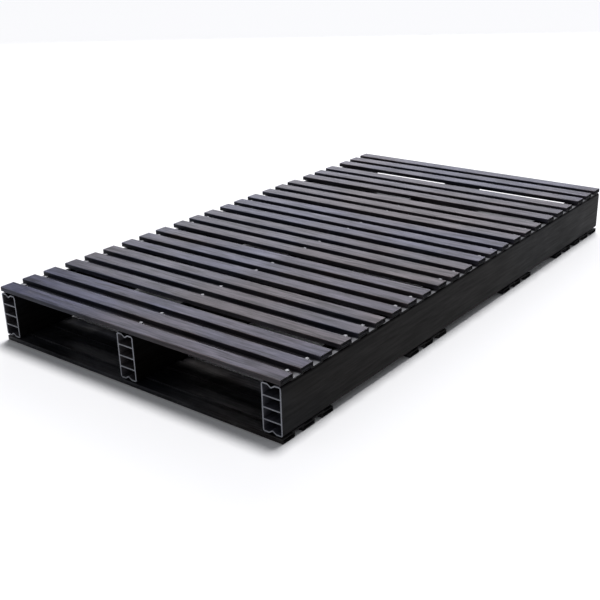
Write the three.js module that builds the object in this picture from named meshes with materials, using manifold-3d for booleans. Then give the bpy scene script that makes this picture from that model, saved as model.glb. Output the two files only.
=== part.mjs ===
// A plastic pallet put together from hollow extruded profiles.
//
// Three ladder-section stringers run the whole length. Eight ribbed deck boards cross them, ribs up,
// and five bottom boards of the same extrusion cross them underneath, ribs down. Screws go through the
// groove floors of the boards into the stringers. X runs along the boards, Y along the stringers and
// Z up, with the origin on the ground under the middle of the pallet. All sizes are in millimetres.

import * as THREE from "three";
import { mergeVertices } from "three/addons/utils/BufferGeometryUtils.js";
import Module from "manifold-3d";

const wasm = await Module();
wasm.setup();

// Driving dimensions of the whole pallet.
const palletLength = 1450;
const palletWidth = 800;
const deckGaps = [27, 25, 29, 28, 30, 40.5, 38.5]; // between neighbouring deck boards, front to back
const fullBottomBoards = 4; // evenly spaced, the first and the last flush with the ends
const fullBoardRibs = 3;
const narrowBoardRibs = 2; // the narrow strip laid in front of the rear bottom board
const narrowStripGap = 28;

// The board extrusion: hollow, flat-topped ribs joined by webs. A web is the floor of a groove, reaches a
// little way under the ribs beside it, and is the foot that the board stands on.
const boardHeight = 14;
const footHeight = 3.4;
const footReach = 6;
const ribWidth = 36;
const grooveWidth = 23;
const ribWall = 2.5;
const ribCornerRadius = 1.5;

// The stringer extrusion: a tall tube cut into four cells by three webs, like a ladder.
const stringerWidth = 46;
const stringerHeight = 101;
const stringerWall = 3;
const stringerCornerRadius = 5;
const cellCount = 4;
const webThickness = 2.8;
const notchWidth = 17; // the V notch along the middle of the top and bottom, which guides the screws
const notchDepth = 5.5;

// The screws: a hex head on a flange, and a plain shank with a point.
const headHeight = 5.5;
const headRadius = 4.4;
const flangeRadius = 6;
const flangeHeight = 1.2;
const shankRadius = 2.75;
const shankLength = 20;
const pointLength = 5;
const holeRadius = 3.3;
const roundSegments = 8;

// Worked out from the sizes above.
const ribPitch = ribWidth + grooveWidth;
const boardWidth = (ribs) => ribs * ribPitch - grooveWidth;
const grooveCentre = (groove) => ribWidth + grooveWidth / 2 + groove * ribPitch;
const stringerCentres = [-1, 0, 1].map((side) => (side * (palletWidth - stringerWidth)) / 2);
const stringerBottom = boardHeight;
const stringerTop = boardHeight + stringerHeight;
const frontEdge = -palletLength / 2;
const screwedGroove = 0; // the groove, counted from a board's first rib, that takes the screws

const boardPlastic = new THREE.MeshStandardMaterial({ color: 0x54545a, roughness: 0.6, metalness: 0 });
const stringerPlastic = new THREE.MeshStandardMaterial({ color: 0x2b2b2c, roughness: 0.5, metalness: 0 });
const zincSteel = new THREE.MeshStandardMaterial({ color: 0xb9bcc0, roughness: 0.35, metalness: 1 });

// A closed geometry as a solid that manifold-3d can cut.
function solidFrom(geometry) {
  const bare = geometry.clone();
  bare.deleteAttribute("normal");
  bare.deleteAttribute("uv");
  const merged = mergeVertices(bare, 1e-3);
  return new wasm.Manifold(
    new wasm.Mesh({
      numProp: 3,
      vertProperties: merged.attributes.position.array,
      triVerts: new Uint32Array(merged.index.array),
    }),
  );
}

function geometryFrom(solid) {
  const mesh = solid.getMesh();
  const geometry = new THREE.BufferGeometry();
  geometry.setAttribute("position", new THREE.BufferAttribute(mesh.vertProperties, 3));
  geometry.setIndex(new THREE.BufferAttribute(mesh.triVerts, 1));
  return geometry;
}

// A body with every tool's shape taken out of it.
function cut(body, tools) {
  let solid = solidFrom(body);
  for (const tool of tools) solid = solid.subtract(solidFrom(tool));
  return geometryFrom(solid);
}

// A round upright drill from low to high.
function drillBit(x, y, low, high) {
  const bit = new THREE.CylinderGeometry(holeRadius, holeRadius, high - low, roundSegments);
  return bit.rotateX(Math.PI / 2).translate(x, y, (low + high) / 2);
}

// A section pushed out to a length, half of it on each side of the drawing plane.
function extrude(section, length, curveSegments) {
  const settings = { depth: length, bevelEnabled: false, curveSegments };
  return new THREE.ExtrudeGeometry(section, settings).translate(0, 0, -length / 2);
}

const alongX = new THREE.Matrix4().makeBasis(
  new THREE.Vector3(0, 1, 0),
  new THREE.Vector3(0, 0, 1),
  new THREE.Vector3(1, 0, 0),
);
const alongY = new THREE.Matrix4().makeBasis(
  new THREE.Vector3(1, 0, 0),
  new THREE.Vector3(0, 0, 1),
  new THREE.Vector3(0, -1, 0),
);

// The board's outline, with one edge at x = 0, the feet on y = 0 and the ribs up.
function boardOutline(ribs) {
  const outline = new THREE.Shape().moveTo(0, footHeight);
  for (let web = 0; web < ribs - 1; web += 1) {
    const left = web * ribPitch + ribWidth - footReach;
    const right = (web + 1) * ribPitch + footReach;
    outline.lineTo(left, footHeight).lineTo(left, 0).lineTo(right, 0).lineTo(right, footHeight);
  }
  const shoulder = boardHeight - ribCornerRadius;
  for (let rib = ribs - 1; rib >= 0; rib -= 1) {
    const left = rib * ribPitch;
    const right = left + ribWidth;
    outline.lineTo(right, footHeight);
    outline.absarc(right - ribCornerRadius, shoulder, ribCornerRadius, 0, Math.PI / 2, false);
    outline.absarc(left + ribCornerRadius, shoulder, ribCornerRadius, Math.PI / 2, Math.PI, false);
    if (rib > 0) outline.lineTo(left, footHeight);
  }
  return outline;
}

// A board lies along X, with one edge on y = 0 and its feet on z = 0.
function boardGeometry(ribs) {
  const body = extrude(boardOutline(ribs), palletWidth, 1).applyMatrix4(alongX);
  const tools = stringerCentres.map((x) =>
    drillBit(x, grooveCentre(screwedGroove), -1, footHeight + 1),
  );
  for (let rib = 0; rib < ribs; rib += 1) {
    const floor = footHeight + ribWall;
    const hollowHeight = boardHeight - ribWall - floor;
    const hollow = new THREE.BoxGeometry(palletWidth + 2, ribWidth - 2 * ribWall, hollowHeight);
    tools.push(hollow.translate(0, rib * ribPitch + ribWidth / 2, floor + hollowHeight / 2));
  }
  return cut(body, tools);
}

// The stringer's outline, centred on x = 0 and standing on y = 0, with a V notch above and below.
function stringerOutline() {
  const middle = stringerWidth / 2 - stringerCornerRadius;
  const low = stringerCornerRadius;
  const high = stringerHeight - stringerCornerRadius;
  const outline = new THREE.Shape();
  outline.moveTo(-notchWidth / 2, 0).lineTo(0, notchDepth).lineTo(notchWidth / 2, 0);
  outline.absarc(middle, low, stringerCornerRadius, -Math.PI / 2, 0, false);
  outline.absarc(middle, high, stringerCornerRadius, 0, Math.PI / 2, false);
  outline.lineTo(notchWidth / 2, stringerHeight);
  outline.lineTo(0, stringerHeight - notchDepth);
  outline.lineTo(-notchWidth / 2, stringerHeight);
  outline.absarc(-middle, high, stringerCornerRadius, Math.PI / 2, Math.PI, false);
  outline.absarc(-middle, low, stringerCornerRadius, Math.PI, Math.PI * 1.5, false);
  return outline;
}

// The cells between the webs. The lowest and the highest follow the notches, so the wall there keeps
// its thickness.
function cellOutlines() {
  const webs = (cellCount - 1) * webThickness;
  const cellHeight = (stringerHeight - 2 * stringerWall - webs) / cellCount;
  const side = stringerWidth / 2 - stringerWall;
  const outlines = [];
  for (let cell = 0; cell < cellCount; cell += 1) {
    const floor = stringerWall + cell * (cellHeight + webThickness);
    const roof = floor + cellHeight;
    const outline = new THREE.Shape().moveTo(-side, floor);
    if (cell === 0) {
      outline.lineTo(-notchWidth / 2, floor).lineTo(0, floor + notchDepth);
      outline.lineTo(notchWidth / 2, floor);
    }
    outline.lineTo(side, floor).lineTo(side, roof);
    if (cell === cellCount - 1) {
      outline.lineTo(notchWidth / 2, roof).lineTo(0, roof - notchDepth);
      outline.lineTo(-notchWidth / 2, roof);
    }
    outlines.push(outline.lineTo(-side, roof));
  }
  return outlines;
}

// A stringer lies along Y, centred on x = 0, with a hole for every screw above and below.
function stringerGeometry() {
  const body = extrude(stringerOutline(), palletLength, 2).applyMatrix4(alongY);
  const tools = cellOutlines().map((cell) => extrude(cell, palletLength + 2, 1));
  for (const tool of tools) tool.applyMatrix4(alongY);
  const reach = stringerWall + notchDepth + 1;
  for (const y of deckScrewRows)
    tools.push(drillBit(0, y, stringerHeight - reach, stringerHeight + 1));
  for (const y of bottomScrewRows) tools.push(drillBit(0, y, -1, reach));
  return cut(body, tools);
}

// A screw stands point down, with the underside of its flange on z = 0.
function screwGeometry() {
  const profile = [
    [0, -shankLength],
    [shankRadius, pointLength - shankLength],
    [shankRadius, 0],
    [flangeRadius, 0],
    [flangeRadius, flangeHeight],
    [headRadius, flangeHeight],
    [headRadius, headHeight],
    [0, headHeight],
  ];
  const points = profile.map(([radius, height]) => new THREE.Vector2(radius, height));
  return new THREE.LatheGeometry(points, roundSegments).rotateX(Math.PI / 2);
}

// Where each board starts along Y, from the front end to the back.
const deckStarts = [frontEdge];
for (const gap of deckGaps) deckStarts.push(deckStarts.at(-1) + boardWidth(fullBoardRibs) + gap);

const bottomPitch = (palletLength - boardWidth(fullBoardRibs)) / (fullBottomBoards - 1);
const bottomBoards = [];
for (let board = 0; board < fullBottomBoards; board += 1)
  bottomBoards.push({ start: frontEdge + board * bottomPitch, ribs: fullBoardRibs });
const narrowStart = bottomBoards.at(-1).start - narrowStripGap - boardWidth(narrowBoardRibs);
bottomBoards.splice(-1, 0, { start: narrowStart, ribs: narrowBoardRibs });

const deckScrewRows = deckStarts.map((start) => start + grooveCentre(screwedGroove));
const bottomScrewRows = bottomBoards.map(
  ({ start, ribs }) => start + boardWidth(ribs) - grooveCentre(screwedGroove),
);

const pallet = new THREE.Group();

function addMesh(name, geometry, material, x, y, z) {
  const mesh = new THREE.Mesh(geometry, material);
  mesh.name = name;
  mesh.position.set(x, y, z);
  pallet.add(mesh);
  return mesh;
}

const stringer = stringerGeometry();
const sides = ["left", "middle", "right"];
stringerCentres.forEach((x, index) => {
  addMesh(`stringer_${sides[index]}`, stringer, stringerPlastic, x, 0, stringerBottom);
});

const fullBoard = boardGeometry(fullBoardRibs);
const narrowBoard = boardGeometry(narrowBoardRibs);
deckStarts.forEach((start, index) => {
  addMesh(`deck_board_${index + 1}`, fullBoard, boardPlastic, 0, start, stringerTop);
});
bottomBoards.forEach(({ start, ribs }, index) => {
  const geometry = ribs === fullBoardRibs ? fullBoard : narrowBoard;
  const place = [0, start + boardWidth(ribs), stringerBottom];
  const board = addMesh(`bottom_board_${index + 1}`, geometry, boardPlastic, ...place);
  board.rotation.x = Math.PI; // laid face down
});

const screw = screwGeometry();
stringerCentres.forEach((x, index) => {
  deckScrewRows.forEach((y, row) => {
    const name = `deck_screw_${row + 1}_${sides[index]}`;
    addMesh(name, screw, zincSteel, x, y, stringerTop + footHeight);
  });
  bottomScrewRows.forEach((y, row) => {
    const name = `bottom_screw_${row + 1}_${sides[index]}`;
    const mesh = addMesh(name, screw, zincSteel, x, y, stringerBottom - footHeight);
    mesh.rotation.x = Math.PI;
  });
});

export default pallet;
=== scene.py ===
from math import pi, radians

import bmesh
import bpy
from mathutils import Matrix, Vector


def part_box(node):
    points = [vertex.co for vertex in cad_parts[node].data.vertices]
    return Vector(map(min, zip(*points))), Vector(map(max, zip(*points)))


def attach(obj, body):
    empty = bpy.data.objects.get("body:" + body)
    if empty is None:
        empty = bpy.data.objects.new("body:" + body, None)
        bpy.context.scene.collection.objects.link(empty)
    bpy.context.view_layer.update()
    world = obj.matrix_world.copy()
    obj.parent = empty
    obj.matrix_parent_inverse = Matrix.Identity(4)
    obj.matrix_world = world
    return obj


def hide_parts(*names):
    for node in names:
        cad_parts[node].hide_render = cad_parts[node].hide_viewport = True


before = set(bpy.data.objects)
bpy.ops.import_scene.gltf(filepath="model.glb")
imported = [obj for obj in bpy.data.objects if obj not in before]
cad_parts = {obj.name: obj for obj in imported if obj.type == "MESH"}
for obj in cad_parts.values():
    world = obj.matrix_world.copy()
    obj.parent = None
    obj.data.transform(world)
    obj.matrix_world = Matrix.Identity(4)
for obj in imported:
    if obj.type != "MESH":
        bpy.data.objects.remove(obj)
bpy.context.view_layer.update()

# The stringers: three black recycled-plastic profiles that run the whole length. Each is a tall tube
# with three webs inside and a V notch along its top and bottom that centres the screws. They are
# extruded and then sawn to length, so the ends are pale and show the marks of the blade.

sides = ("left", "middle", "right")
stringer_wall = 0.003
stringer_corner = 0.005
cell_count = 4
stringer_cell = 0.02165
stringer_web = 0.0028
notch_half_width = 0.0085
notch_depth = 0.0055
inside_fillet = 0.0011
saw_burr = 0.0004
hole_radius = 0.0033
hole_depth = 0.013
hole_lead = 0.001
# How far two places may be apart and still count as the same, before and after rounding an edge.
touching = 1e-5
near = 1e-4

# Where the boards lie, from the front end to the back, and the middles of their two grooves.
groove_to_edge = 0.0475
deck_names = [f"deck_board_{n}" for n in range(1, 9)]
bottom_names = [f"bottom_board_{n}" for n in range(1, 6)]


def groove_middles(name):
    low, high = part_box(name)
    return sorted({round(low.y + groove_to_edge, 5), round(high.y - groove_to_edge, 5)})


def deselect():
    bpy.ops.object.select_all(action="DESELECT")


def select(kind, test):
    """In edit mode, selects the verts, edges or faces whose middle passes the test, and no others."""
    bpy.ops.mesh.select_mode(type=kind)
    bpy.ops.mesh.select_all(action="DESELECT")
    piece = bpy.context.edit_object
    shape = bmesh.from_edit_mesh(piece.data)
    if kind == "VERT":
        for vert in shape.verts:
            vert.select_set(test(vert.co))
    elif kind == "EDGE":
        for edge in shape.edges:
            edge.select_set(test((edge.verts[0].co + edge.verts[1].co) / 2, edge))
    else:
        for face in shape.faces:
            face.select_set(test(face.calc_center_median(), face))
    shape.select_flush_mode()
    bmesh.update_edit_mesh(piece.data)


def paint(piece, number, test):
    """Gives the faces that pass the test the piece's material of this number, counted from 0."""
    select("FACE", test)
    piece.active_material_index = number
    bpy.ops.object.material_slot_assign()


def cut_lines(axis, places):
    """Cuts the whole mesh along flat lines at these places on one axis."""
    for place in places:
        bpy.ops.mesh.select_all(action="SELECT")
        co, no = [0, 0, 0], [0, 0, 0]
        co[axis], no[axis] = place, 1
        bpy.ops.mesh.bisect(plane_co=co, plane_no=no)


def runs_along(edge, axis):
    step = edge.verts[1].co - edge.verts[0].co
    return abs(step[axis]) > 0.999 * step.length


def is_sharp(edge, degrees):
    return len(edge.link_faces) == 2 and edge.calc_face_angle(0) > radians(degrees)


def knock_off_burr(axis):
    """Takes the burr off every sharp edge that doesn't run along the extrusion, with the sawn finish."""
    select("EDGE", lambda middle, edge: not runs_along(edge, axis) and is_sharp(edge, 60))
    bpy.ops.mesh.bevel(offset=saw_burr, segments=1, affect="EDGES", clamp_overlap=True, material=1)


def lay_copy(pattern, name, place, turn):
    """Copies a pattern piece with a mesh of its own, and sets the copy down turned and in place."""
    deselect()
    piece = pattern.copy()
    piece.data = pattern.data.copy()
    piece.name = name
    bpy.context.collection.objects.link(piece)
    piece.select_set(True)
    bpy.context.view_layer.objects.active = piece
    piece.location = place
    piece.rotation_euler = turn
    bpy.ops.object.transform_apply(location=True, rotation=True, scale=True)
    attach(piece, "root")
    return piece


def extrude_section(reach):
    """Pushes the whole section out by reach and turns every face outwards."""
    bpy.ops.mesh.select_mode(type="FACE")
    bpy.ops.mesh.select_all(action="SELECT")
    bpy.ops.mesh.extrude_region_move(TRANSFORM_OT_translate={"value": reach})
    bpy.ops.mesh.select_all(action="SELECT")
    bpy.ops.mesh.remove_doubles(threshold=1e-6)
    bpy.ops.mesh.normals_make_consistent(inside=False)


def drill(piece, holes):
    """Takes upright round holes (x, y, lowest z, highest z) out of the piece."""
    deselect()
    bits = []
    for x, y, low, high in holes:
        bpy.ops.mesh.primitive_cylinder_add(
            vertices=20, radius=hole_radius, depth=high - low, location=(x, y, (low + high) / 2)
        )
        bits.append(bpy.context.object)
    for bit in bits:
        bit.select_set(True)
    bpy.ops.object.join()
    bit = bpy.context.object
    deselect()
    piece.select_set(True)
    bpy.context.view_layer.objects.active = piece
    change = piece.modifiers.new("holes", "BOOLEAN")
    change.operation = "DIFFERENCE"
    change.solver = "EXACT"
    change.object = bit
    bpy.ops.object.modifier_apply(modifier=change.name)
    bpy.data.objects.remove(bit)


def smooth(piece):
    deselect()
    piece.select_set(True)
    bpy.context.view_layer.objects.active = piece
    bpy.ops.object.shade_smooth_by_angle(angle=radians(32))


def add_node(tree, kind, inputs, **settings):
    """Adds a shader node, and feeds each input from a socket, or sets it to a number or a colour."""
    node = tree.nodes.new(kind)
    for setting, value in settings.items():
        setattr(node, setting, value)
    for key, value in inputs.items():
        socket = node.inputs[key]
        if isinstance(value, bpy.types.NodeSocket):
            tree.links.new(value, socket)
        elif socket.type == "RGBA":
            socket.default_value = (*value, 1)
        else:
            socket.default_value = value
    return node


def object_place(tree):
    return tree.nodes.new("ShaderNodeTexCoord").outputs["Object"]


def noise(tree, place, size, detail, roughness=0.5, distortion=0.0):
    inputs = {
        "Vector": place, "Scale": size, "Detail": detail,
        "Roughness": roughness, "Distortion": distortion,
    }
    return add_node(tree, "ShaderNodeTexNoise", inputs).outputs["Fac"]


def spread(tree, value, low, high, out_low=0.0, out_high=1.0):
    """Stretches the part of a value between low and high over the whole of the new range."""
    inputs = {
        "Value": value, "From Min": low, "From Max": high, "To Min": out_low, "To Max": out_high,
    }
    return add_node(tree, "ShaderNodeMapRange", inputs).outputs["Result"]


def mix(tree, factor, first, second, blend="MIX"):
    inputs = {"Factor": factor, 6: first, 7: second}
    return add_node(tree, "ShaderNodeMix", inputs, data_type="RGBA", blend_type=blend).outputs[2]


def finish_shader(tree, inputs, height, bump_strength, bump_distance):
    """Feeds the material's own shader, with a bump on top made from the height."""
    shader = tree.nodes["Principled BSDF"]
    heights = {"Height": height, "Strength": bump_strength, "Distance": bump_distance}
    inputs["Normal"] = add_node(tree, "ShaderNodeBump", heights).outputs["Normal"]
    for key, value in inputs.items():
        if isinstance(value, bpy.types.NodeSocket):
            tree.links.new(value, shader.inputs[key])
        else:
            shader.inputs[key].default_value = value


def plastic(name, dark, light, fleck, stretch, roughness, shine, streak_contrast, patch_contrast):
    """Recycled plastic with fine streaks along the extrusion, patches, flecks and light scuffs."""
    material = bpy.data.materials.new(name)
    material.use_nodes = True
    tree = material.node_tree
    place = object_place(tree)

    def drawn_noise(along, size, detail, turn=(0, 0, 0), distortion=0.0):
        """Noise drawn out along the extrusion: across it the scale is 1, along it it is less."""
        scale = tuple(1.0 if across else along for across in stretch)
        inputs = {"Vector": place, "Scale": scale, "Rotation": turn}
        mapped = add_node(tree, "ShaderNodeMapping", inputs).outputs["Vector"]
        return noise(tree, mapped, size, detail, 0.6, distortion)

    def combine(kind, first, second):
        return add_node(tree, "ShaderNodeMath", {0: first, 1: second}, operation=kind).outputs["Value"]

    def blend(factor, first, second):
        return mix(tree, factor, first, second)

    fine = drawn_noise(0.02, 420, 3)
    drawn = drawn_noise(0.07, 170, 3)
    wide = drawn_noise(0.12, 55, 4)
    patches = drawn_noise(1, 7, 4, distortion=0.4)
    specks = drawn_noise(1, 420, 2)
    scuffs = drawn_noise(0.08, 160, 5, (0, 0, 0.18), 0.6)
    casts = drawn_noise(0.7, 3.5, 2)

    streaks = combine("ADD", combine("MULTIPLY", fine, 0.2), combine("MULTIPLY", drawn, 0.5))
    streaks = combine("ADD", streaks, combine("MULTIPLY", wide, 0.3))
    streak_low, streak_high = 0.5 - streak_contrast, 0.5 + streak_contrast
    body = blend(spread(tree, streaks, streak_low, streak_high), dark, light)
    cast = blend(spread(tree, casts, 0.44, 0.6), (0.9, 0.95, 1.16), (1.22, 1.0, 0.9))
    body = mix(tree, 1, body, cast, "MULTIPLY")
    faded = tuple(0.75 * a + 0.25 * b for a, b in zip(light, fleck))
    body = blend(spread(tree, patches, 0.45, 0.72, 0.0, patch_contrast), body, faded)
    worn_patches = spread(tree, patches, 0.35, 0.65)
    fleck_mask = combine("MULTIPLY", spread(tree, specks, 0.66, 0.74), worn_patches)
    body = blend(combine("MULTIPLY", fleck_mask, 0.35), body, fleck)
    scuffed_patches = spread(tree, patches, 0.42, 0.62)
    scuff_mask = combine("MULTIPLY", spread(tree, scuffs, 0.64, 0.72), scuffed_patches)
    body = blend(combine("MULTIPLY", scuff_mask, 0.3), body, fleck)

    polish = spread(tree, streaks, streak_low, streak_high, shine * 0.6, shine * 1.4)
    gloss = spread(tree, fine, 0.3, 0.7, roughness - 0.07, roughness + 0.07)
    gloss = combine("ADD", gloss, spread(tree, patches, 0.3, 0.7, -0.05, 0.06))
    gloss = combine("ADD", gloss, combine("MULTIPLY", scuff_mask, 0.12))

    height = combine("ADD", combine("MULTIPLY", fine, 0.6), combine("MULTIPLY", wide, 0.8))
    height = combine("ADD", height, combine("MULTIPLY", specks, 0.25))
    height = combine("SUBTRACT", height, combine("MULTIPLY", scuff_mask, 0.3))
    inputs = {"Base Color": body, "Specular IOR Level": polish, "Roughness": gloss}
    finish_shader(tree, inputs, height, 0.35, 0.0006)
    return material


def sawn(name, dark, light, lean, roughness, shine):
    """A saw cut through the plastic: chalky, with grime and the blade's fine marks across it."""
    material = bpy.data.materials.new(name)
    material.use_nodes = True
    tree = material.node_tree
    place = object_place(tree)
    leaning = add_node(tree, "ShaderNodeMapping", {"Vector": place, "Rotation": lean}).outputs["Vector"]
    blade = {"Vector": leaning, "Scale": 210, "Distortion": 2.4, "Detail": 3, "Detail Scale": 2}
    wave = add_node(tree, "ShaderNodeTexWave", blade, wave_type="BANDS", bands_direction="Z")
    grain = noise(tree, place, 520, 4)
    marks_and_grain = {0: wave.outputs["Fac"], 1: 0.35, 2: grain}
    both = add_node(tree, "ShaderNodeMath", marks_and_grain, operation="MULTIPLY_ADD").outputs["Value"]
    colour = mix(tree, spread(tree, both, 0.3, 1.05), dark, light)
    grime = spread(tree, noise(tree, place, 60, 3), 0.5, 0.75, 0.0, 0.6)
    inputs = {
        "Base Color": mix(tree, grime, colour, dark),
        "Specular IOR Level": shine,
        "Roughness": spread(tree, grain, 0, 1, roughness - 0.1, roughness + 0.1),
    }
    finish_shader(tree, inputs, both, 0.5, 0.0004)
    return material


def paint_light_on_the_ends(material, lit_from, lit_to, lit_colour):
    """Paints a pale patch wherever a gap or a groove runs out at the sides of the pallet: painted light
    for the lit ends of the groove floors, and a painted highlight on the stringers' outer shoulders.
    """
    tree = material.node_tree
    base = tree.nodes["Principled BSDF"].inputs["Base Color"]
    unlit = base.links[0].from_socket
    parts = add_node(tree, "ShaderNodeSeparateXYZ", {"Vector": object_place(tree)})
    outward = add_node(tree, "ShaderNodeMath", {0: parts.outputs["X"]}, operation="ABSOLUTE")
    # Painted light: the colour turns pale over the last few millimetres towards each side of the pallet.
    amount = spread(tree, outward.outputs["Value"], lit_from, lit_to, 0.0, 0.9)
    tree.links.new(mix(tree, amount, unlit, lit_colour), base)


stringer_skin = plastic(
    "stringer plastic", (0.0016, 0.0016, 0.0016), (0.0052, 0.0052, 0.0054), (0.04, 0.04, 0.04),
    (True, False, True), 0.5, 0.06, 0.14, 0.4,
)
# The stringer tops get a lighter copy of the stringer plastic: painted light on the upward faces, with
# more painted light at their outer edges.
stringer_top = plastic(
    "stringer top, painted light", (0.006, 0.006, 0.0063), (0.022, 0.022, 0.023), (0.07, 0.07, 0.07),
    (True, False, True), 0.4, 0.3, 0.14, 0.4,
)
paint_light_on_the_ends(stringer_top, 0.382, 0.391, (0.21, 0.21, 0.22))
# The cell walls get a much lighter copy of the stringer plastic: painted light, standing in for light
# that enters the open cells.
stringer_inside = plastic(
    "stringer cell, painted light", (0.018, 0.019, 0.022), (0.07, 0.074, 0.085), (0.16, 0.16, 0.17),
    (True, False, True), 0.6, 0.3, 0.14, 0.4,
)
stringer_cut = sawn(
    "sawn stringer end", (0.10, 0.105, 0.12), (0.34, 0.35, 0.39), (0.0, 0.5, 0.0), 0.62, 0.5
)

first_low, first_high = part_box("stringer_left")
width, height = first_high.x - first_low.x, first_high.z - first_low.z
middle_x = (first_low.x + first_high.x) / 2
deselect()
bpy.ops.mesh.primitive_plane_add(
    size=1,
    location=(middle_x, first_low.y, first_low.z + height / 2),
    rotation=(pi / 2, 0, 0),
)
profile = bpy.context.object
bpy.ops.object.mode_set(mode="EDIT")
bpy.ops.transform.resize(value=(width, 1, height))
bpy.ops.mesh.select_mode(type="VERT")
bpy.ops.mesh.select_all(action="SELECT")
bpy.ops.mesh.bevel(offset=stringer_corner, segments=6, affect="VERTICES")
bpy.ops.object.mode_set(mode="OBJECT")
bpy.ops.object.transform_apply(location=True, rotation=True, scale=True)
bpy.ops.object.mode_set(mode="EDIT")
inner = width / 2 - stringer_wall
cut_lines(0, [middle_x + x for x in (-inner, -notch_half_width, 0, notch_half_width, inner)])
cells = []
for n in range(cell_count):
    floor = first_low.z + stringer_wall + n * (stringer_cell + stringer_web)
    cells.append((floor, floor + stringer_cell))
cut_lines(2, [z for cell in cells for z in cell])


def in_a_cell(middle, face):
    inside = abs(middle.x - middle_x) < inner
    return inside and any(floor < middle.z < roof for floor, roof in cells)


def on_a_cell_wall(middle, face):
    between_the_walls = abs(middle.x - middle_x) < inner + near and abs(face.normal.y) < 0.1
    return between_the_walls and any(floor - near < middle.z < roof + near for floor, roof in cells)


def is_fold(middle, edge):
    between_the_walls = abs(middle.x - middle_x) < inner + near
    return between_the_walls and runs_along(edge, 1) and is_sharp(edge, 25)


select("FACE", in_a_cell)
bpy.ops.mesh.delete(type="FACE")
for base, way in ((first_low.z, 1), (first_high.z, -1)):
    walls = (base, base + way * stringer_wall)
    select(
        "VERT",
        lambda co: abs(co.x - middle_x) < touching
        and min(abs(co.z - wall) for wall in walls) < touching,
    )
    bpy.ops.transform.translate(value=(0, 0, way * notch_depth))
extrude_section((0, first_high.y - first_low.y, 0))
# The extruder leaves every inside corner with a small fillet, and the folds of the notch softened.
select("EDGE", is_fold)
bpy.ops.mesh.bevel(offset=inside_fillet, segments=3, affect="EDGES", clamp_overlap=True)
for skin in (stringer_skin, stringer_cut, stringer_top, stringer_inside):
    profile.data.materials.append(skin)
paint(profile, 1, lambda middle, face: abs(face.normal.y) > 0.9)
# Painted light: the upward faces along the top take the lighter copy.
paint(profile, 2, lambda middle, face: face.normal.z > 0.9 and middle.z > first_high.z - near)
# Painted light: the walls inside the cells take the lighter copy.
paint(profile, 3, on_a_cell_wall)
knock_off_burr(1)
bpy.ops.object.mode_set(mode="OBJECT")
holes = []
for name in deck_names:
    for y in groove_middles(name):
        holes.append((middle_x, y, first_high.z - hole_depth, first_high.z + hole_lead))
for name in bottom_names:
    for y in groove_middles(name):
        holes.append((middle_x, y, first_low.z - hole_lead, first_low.z + hole_depth))
drill(profile, holes)
smooth(profile)

for side in sides:
    low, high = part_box(f"stringer_{side}")
    shift = (low.x + high.x) / 2 - middle_x
    stringer = lay_copy(profile, f"ladder_stringer_{side}", (shift, 0, 0), (0, 0, 0))
    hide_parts(f"stringer_{side}")
bpy.data.objects.remove(profile)

# The boards: planks of the same recycled plastic, extruded as three hollow ribs, or two for the narrow
# strip, joined by webs that stand on the stringers. Eight lie across the stringers ribs up, and five
# lie under them ribs down. The runs of plastic differ a little in tint from board to board. The bottom
# boards take a far darker copy, which is painted shade under the deck.

rib_width = 0.036
rib_pitch = 0.059
rib_wall = 0.0025
foot_height = 0.0034
foot_reach = 0.006
shoulder_round = 0.0014
foot_round = 0.0009

board_tints = {
    "blue grey": ((0.0128, 0.0128, 0.0215), (0.051, 0.051, 0.086)),
    "brown grey": ((0.0150, 0.0132, 0.0165), (0.060, 0.0525, 0.066)),
    "grey": ((0.014, 0.0133, 0.019), (0.0555, 0.0525, 0.075)),
    # The black tint is used only for the bottom boards under the deck: painted shade, far darker than
    # the deck boards.
    "black": ((0.004, 0.004, 0.0043), (0.016, 0.016, 0.0175)),
}
board_skins = {}
for tint, (dark, light) in board_tints.items():
    board_skins[tint] = plastic(
        f"board plastic, {tint}", dark, light, (0.30, 0.29, 0.28),
        (False, True, True), 0.45, 0.16, 0.08, 0.4,
    )
# A lighter copy for the rounded top edges of the boards: partly wear, and partly painted highlight where
# the edges catch the light.
worn_and_highlit_edge = plastic(
    "board edge, wear and painted highlight", (0.045, 0.045, 0.055), (0.12, 0.12, 0.14), (0.4, 0.4, 0.4),
    (False, True, True), 0.45, 0.2, 0.14, 0.35,
)
# A darker, glossier copy for the groove floors: painted shade in the grooves, and painted light where
# they run out at the ends.
groove_floor = plastic(
    "smooth groove floor, painted shade and light", (0.010, 0.010, 0.012), (0.036, 0.036, 0.042), (0.12, 0.12, 0.13),
    (False, True, True), 0.3, 0.5, 0.12, 0.4,
)
paint_light_on_the_ends(groove_floor, 0.384, 0.394, (0.21, 0.21, 0.22))
# A darker copy of the board plastic for the walls of the ribs and the board edges: painted shade.
shaded_board_side = plastic(
    "clean board side", (0.009, 0.009, 0.0115), (0.034, 0.034, 0.043), (0.12, 0.12, 0.13),
    (False, True, True), 0.5, 0.12, 0.12, 0.4,
)
# The board ends are sawn like the stringers' but get a near-black copy instead of a pale one: painted
# shade on the ends facing the sides.
shaded_board_end = sawn(
    "sawn board end, painted shade", (0.003, 0.003, 0.003), (0.013, 0.013, 0.0135), (0.5, 0.0, 0.0), 0.65, 0.08
)


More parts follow.
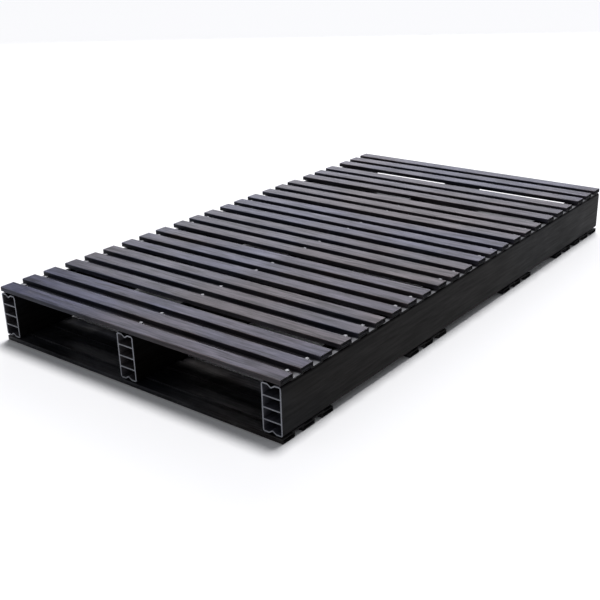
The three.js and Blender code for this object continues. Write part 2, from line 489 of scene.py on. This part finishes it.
def make_board(name):
    """A board ribs up with its front edge on y = 0 and its feet on z = 0."""
    low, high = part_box(name)
    length, width, height = high.x - low.x, high.y - low.y, high.z - low.z
    ribs = round((width + rib_pitch - rib_width) / rib_pitch)
    deselect()
    bpy.ops.mesh.primitive_plane_add(
        size=1, location=(low.x, width / 2, height / 2), rotation=(0, -pi / 2, 0)
    )
    board = bpy.context.object
    bpy.ops.object.mode_set(mode="EDIT")
    bpy.ops.transform.resize(value=(1, width, height))
    bpy.ops.object.mode_set(mode="OBJECT")
    bpy.ops.object.transform_apply(location=True, rotation=True, scale=True)
    bpy.ops.object.mode_set(mode="EDIT")
    starts = [n * rib_pitch for n in range(ribs)]
    webs = [(start + rib_width - foot_reach, start + rib_pitch + foot_reach) for start in starts[:-1]]
    lines = [y for web in webs for y in web]
    for start in starts:
        lines += [start, start + rib_wall, start + rib_width - rib_wall, start + rib_width]
    cut_lines(1, sorted(lines))
    cut_lines(2, [foot_height, foot_height + rib_wall, height - rib_wall])

    def empty(middle, face):
        if middle.z < foot_height:
            return not any(left < middle.y < right for left, right in webs)
        for start in starts:
            if start < middle.y < start + rib_width:
                across = start + rib_wall < middle.y < start + rib_width - rib_wall
                return across and foot_height + rib_wall < middle.z < height - rib_wall
        return True

    select("FACE", empty)
    bpy.ops.mesh.delete(type="FACE")
    extrude_section((length, 0, 0))
    for skin in (board_skins["grey"], shaded_board_end, worn_and_highlit_edge, shaded_board_side, groove_floor):
        board.data.materials.append(skin)
    # The tops' long edges are rounded over, and their lighter colour is partly wear and partly painted
    # highlight; all the lower ones are only softened.
    select(
        "EDGE",
        lambda middle, edge: middle.z > height - touching and runs_along(edge, 0) and is_sharp(edge, 60),
    )
    bpy.ops.mesh.bevel(offset=shoulder_round, segments=4, affect="EDGES", material=2)
    select(
        "EDGE",
        lambda middle, edge: middle.z < height - rib_wall + touching
        and runs_along(edge, 0)
        and is_sharp(edge, 60),
    )
    bpy.ops.mesh.bevel(offset=foot_round, segments=3, affect="EDGES", clamp_overlap=True)
    below_the_shoulder = height - shoulder_round - near
    # Painted shade: the walls below the shoulder take the darker copy.
    paint(board, 3, lambda middle, face: abs(face.normal.y) > 0.3 and middle.z < below_the_shoulder)
    # Painted shade: the groove floors take the darker copy.
    paint(board, 4, lambda middle, face: face.normal.z > 0.5 and middle.z < height / 2)
    # Painted shade: the sawn ends take the near-black copy.
    paint(board, 1, lambda middle, face: abs(face.normal.x) > 0.9)
    knock_off_burr(0)
    bpy.ops.object.mode_set(mode="OBJECT")
    holes = []
    for side in sides:
        stringer_low, stringer_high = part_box(f"stringer_{side}")
        x = (stringer_low.x + stringer_high.x) / 2
        for y in sorted({round(groove_to_edge, 5), round(width - groove_to_edge, 5)}):
            holes.append((x, y, -hole_lead, foot_height + hole_lead))
    drill(board, holes)
    smooth(board)
    return board


def lay_board(pattern, name, piece_name, tint, ribs_up):
    """Copies the pattern board to a node's place, face up or face down."""
    low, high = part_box(name)
    if ribs_up:
        board = lay_copy(pattern, piece_name, (0, low.y, low.z), (0, 0, 0))
        board.data.materials[0] = board_skins[tint]
    else:
        board = lay_copy(pattern, piece_name, (0, high.y, high.z), (pi, 0, 0))
        for number in (0, 2, 3, 4):
            board.data.materials[number] = board_skins[tint]
    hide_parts(name)


full_board = make_board("deck_board_1")
deck_tints = (
    "blue grey", "brown grey", "blue grey", "brown grey",
    "blue grey", "brown grey", "grey", "blue grey",
)
for n, name in enumerate(deck_names):
    lay_board(full_board, name, f"ribbed_deck_board_{n + 1}", deck_tints[n], True)

narrow_board = make_board("bottom_board_4")
for n, name in enumerate(bottom_names):
    pattern = narrow_board if name == "bottom_board_4" else full_board
    # Painted shade: the bottom boards take the darkest copy of the plastic.
    lay_board(pattern, name, f"ribbed_bottom_board_{n + 1}", "black", False)
bpy.data.objects.remove(full_board)
bpy.data.objects.remove(narrow_board)

# The screws: dull zinc-plated steel, a hex head on a flange and a self-tapping thread. Two hold a
# three-rib board at each stringer and one holds the narrow strip, driven through the floors of the
# grooves and the notch into the first cell of the stringer.

head_height = 0.0055
head_radius = 0.0044
head_sunk = 0.0004
head_corner = 0.0005
head_dish_rim = 0.0010
head_dish = 0.0003
flange_radius = 0.006
flange_height = 0.0012
flange_rim = 0.0008
flange_slope = 0.0010
flange_rise = 0.0004
flange_edge = 0.00025
shank_radius = 0.0019
shank_length = 0.02
point_length = 0.005
point_share = 0.12
thread_radius = 0.00275
thread_root = shank_radius - 0.0002
thread_half_width = 0.0005
thread_pitch = 0.0018
thread_turns = 8

zinc = bpy.data.materials.new("zinc plate")
zinc.use_nodes = True
tree = zinc.node_tree
cloud = noise(tree, object_place(tree), 700, 4)
shades = add_node(tree, "ShaderNodeValToRGB", {"Fac": cloud})
shades.color_ramp.elements[0].position = 0.3
shades.color_ramp.elements[0].color = (0.16, 0.16, 0.175, 1)
shades.color_ramp.elements[1].position = 0.65
shades.color_ramp.elements[1].color = (0.36, 0.36, 0.365, 1)
zinc_inputs = {
    "Metallic": 1, "Base Color": shades.outputs["Color"],
    "Roughness": spread(tree, cloud, 0, 1, 0.4, 0.65),
}
finish_shader(tree, zinc_inputs, cloud, 0.2, 0.0001)

deselect()
# The head: a hexagon with its top corners turned off.
bpy.ops.mesh.primitive_cylinder_add(
    vertices=6,
    radius=head_radius,
    depth=head_height - head_sunk,
    location=(0, 0, (head_height + head_sunk) / 2),
)
head = bpy.context.object
bpy.ops.object.mode_set(mode="EDIT")
select("FACE", lambda middle, face: face.normal.z > 0.9)
bpy.ops.mesh.bevel(offset=head_corner, segments=2, affect="EDGES")
select("FACE", lambda middle, face: face.normal.z > 0.99 and middle.xy.length < near)
bpy.ops.mesh.inset(thickness=head_dish_rim)
bpy.ops.transform.translate(value=(0, 0, -head_dish))
bpy.ops.object.mode_set(mode="OBJECT")
bpy.ops.object.transform_apply(location=True, rotation=True, scale=True)
# The flange: a dished washer in one piece with the head.
bpy.ops.mesh.primitive_cylinder_add(
    vertices=24, radius=flange_radius, depth=flange_height, location=(0, 0, flange_height / 2)
)
flange = bpy.context.object
bpy.ops.object.mode_set(mode="EDIT")
select("FACE", lambda middle, face: face.normal.z > 0.9)
bpy.ops.mesh.inset(thickness=flange_rim)
bpy.ops.mesh.inset(thickness=flange_slope)
bpy.ops.transform.translate(value=(0, 0, flange_rise))
select(
    "EDGE",
    lambda middle, edge: all(abs(vert.co.xy.length - flange_radius) < touching for vert in edge.verts)
    and abs(edge.verts[0].co.z - edge.verts[1].co.z) < touching,
)
bpy.ops.mesh.bevel(offset=flange_edge, segments=1, affect="EDGES")
bpy.ops.object.mode_set(mode="OBJECT")
bpy.ops.object.transform_apply(location=True, rotation=True, scale=True)
# The shank: a rod drawn down to a point.
rod_length = shank_length - point_length
bpy.ops.mesh.primitive_cylinder_add(
    vertices=16, radius=shank_radius, depth=rod_length, location=(0, 0, -rod_length / 2)
)
shank = bpy.context.object
bpy.ops.object.mode_set(mode="EDIT")
select("FACE", lambda middle, face: face.normal.z < -0.9)
bpy.ops.mesh.extrude_region_move(TRANSFORM_OT_translate={"value": (0, 0, -point_length)})
bpy.ops.transform.resize(value=(point_share, point_share, 1))
bpy.ops.object.mode_set(mode="OBJECT")
bpy.ops.object.transform_apply(location=True, rotation=True, scale=True)
# The thread: a small triangle wound round the rod.
bpy.ops.mesh.primitive_circle_add(vertices=3, radius=thread_half_width, fill_type="NOTHING")
thread = bpy.context.object
bpy.ops.object.mode_set(mode="EDIT")
corners = (
    (thread_root, 0, -thread_half_width),
    (thread_root, 0, thread_half_width),
    (thread_radius, 0, 0),
)
shape = bmesh.from_edit_mesh(thread.data)
for vert, corner in zip(shape.verts, corners):
    vert.co = Vector(corner) - Vector((0, 0, rod_length))
bmesh.update_edit_mesh(thread.data)
bpy.ops.object.mode_set(mode="OBJECT")
wind = thread.modifiers.new("wind", "SCREW")
wind.axis = "Z"
wind.angle = 2 * pi
wind.screw_offset = thread_pitch
wind.iterations = thread_turns
wind.steps = 14
wind.render_steps = 14
bpy.ops.object.modifier_apply(modifier=wind.name)
bpy.ops.object.mode_set(mode="EDIT")
half_way_up = thread_turns * thread_pitch / 2 - rod_length
for low_end in (True, False):
    select(
        "EDGE",
        lambda middle, edge: edge.is_boundary and (edge.verts[0].co.z < half_way_up) == low_end,
    )
    bpy.ops.mesh.edge_face_add()
bpy.ops.mesh.select_all(action="SELECT")
bpy.ops.mesh.remove_doubles(threshold=1e-7)
bpy.ops.mesh.normals_make_consistent(inside=False)
bpy.ops.object.mode_set(mode="OBJECT")
deselect()
for part in (head, flange, shank, thread):
    part.select_set(True)
bpy.context.view_layer.objects.active = head
bpy.ops.object.join()
pattern_screw = bpy.context.object
pattern_screw.data.materials.clear()
pattern_screw.data.materials.append(zinc)
smooth(pattern_screw)


def drive_screw(name, x, y, z, up, turn):
    screw = lay_copy(pattern_screw, name, (x, y, z), (0 if up else pi, 0, turn))
    return screw


screw_count = 0
for boards, kind, up in ((deck_names, "deck", True), (bottom_names, "bottom", False)):
    for row, name in enumerate(boards):
        low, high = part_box(name)
        seat = low.z + foot_height if up else high.z - foot_height
        for side in sides:
            node = f"{kind}_screw_{row + 1}_{side}"
            node_low, node_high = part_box(node)
            node_x, node_y = (node_low.x + node_high.x) / 2, (node_low.y + node_high.y) / 2
            for letter, y in zip("ab", groove_middles(name)):
                screw_count += 1
                turn = radians(screw_count * 37 % 60)
                piece_name = f"hex_screw_{kind}_{row + 1}{letter}_{side}"
                screw = drive_screw(piece_name, node_x, y, seat, up, turn)
                if abs(y - node_y) < hole_radius:
                    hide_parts(node)
bpy.data.objects.remove(pattern_screw)

# The studio: a plain pale floor, a soft light overhead, a dim even fill, and a low panel behind the
# pallet that gives the tops of the boards their sheen. The camera doesn't see the panel.

deselect()
bpy.ops.mesh.primitive_plane_add(size=60, location=(0, 0, -0.0005))
floor = bpy.context.object
floor.name = "studio_floor"
paper = bpy.data.materials.new("pale floor")
paper.use_nodes = True
shader = paper.node_tree.nodes["Principled BSDF"]
shader.inputs["Base Color"].default_value = (0.97, 0.965, 0.96, 1)
shader.inputs["Roughness"].default_value = 0.9
floor.data.materials.append(paper)

world = bpy.data.worlds.new("studio air")
world.use_nodes = True
air = world.node_tree.nodes["Background"]
air.inputs["Color"].default_value = (0.92, 0.95, 1.0, 1)
air.inputs["Strength"].default_value = 0.26
bpy.context.scene.world = world

sun = bpy.data.lights.new("overhead", "SUN")
sun.energy = 2.6
sun.color = (0.98, 0.98, 1.0)
sun.angle = radians(18)
overhead = bpy.data.objects.new("overhead", sun)
bpy.context.collection.objects.link(overhead)
overhead.rotation_euler = Vector((0.05, -0.3, -1.0)).to_track_quat("-Z", "Y").to_euler()

panel = bpy.data.lights.new("back panel", "AREA")
panel.shape = "RECTANGLE"
panel.size = 4.5
panel.size_y = 2.4
panel.energy = 115
panel.color = (0.93, 0.925, 1.0)
back_panel = bpy.data.objects.new("back panel", panel)
bpy.context.collection.objects.link(back_panel)
back_panel.location = (-2.3, 3.5, 1.9)
back_panel.rotation_euler = (-back_panel.location).to_track_quat("-Z", "Y").to_euler()
back_panel.visible_camera = False

camera_data = bpy.data.cameras.new("camera")
camera_data.lens = 56.96
camera_data.sensor_width = 36
camera_data.clip_end = 200
camera = bpy.data.objects.new("camera", camera_data)
bpy.context.collection.objects.link(camera)
camera.location = (1.3457, -1.8573, 0.8864)
camera.rotation_euler = (radians(67.635), radians(1.557), radians(37.745))
bpy.context.scene.camera = camera
bpy.context.scene.view_settings.view_transform = "Standard"
